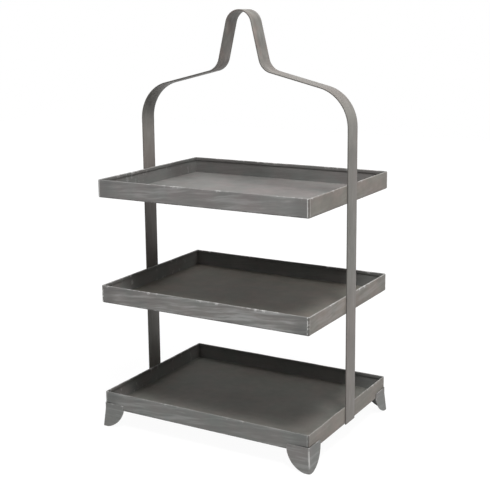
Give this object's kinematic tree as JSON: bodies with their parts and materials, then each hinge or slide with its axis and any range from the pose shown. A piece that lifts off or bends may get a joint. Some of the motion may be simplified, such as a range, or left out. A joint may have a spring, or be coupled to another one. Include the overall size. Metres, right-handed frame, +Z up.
{
  "type": "three-tier tray stand",
  "caption": "Free-standing tiered stand of folded sheet-metal trays hung between the legs of a flat strap that rises into a carrying loop, on folded corner feet.",
  "frame": {"origin": "on the floor, under the middle of the stand", "axes": "+X to the right of a person facing the front, +Y to the back, +Z up"},
  "size_m": [0.409, 0.313, 0.72],
  "materials": {
    "tray_sheet": "matt grey wash brushed along zinc-plated sheet, rubbed bright at rims and corners",
    "strap_bar": "matt warm grey wash on flat bar, rubbed lighter at its edges",
    "foot_plate": "matt grey wash on folded plate, rubbed bright along the fold"
  },
  "bodies": {
    "root": {"bottom_tray": "tray_sheet", "middle_tray": "tray_sheet", "top_tray": "tray_sheet", "handle_strap": "strap_bar", "front_left_foot": "foot_plate", "front_right_foot": "foot_plate", "back_left_foot": "foot_plate", "back_right_foot": "foot_plate"}
  },
  "joints": []
}
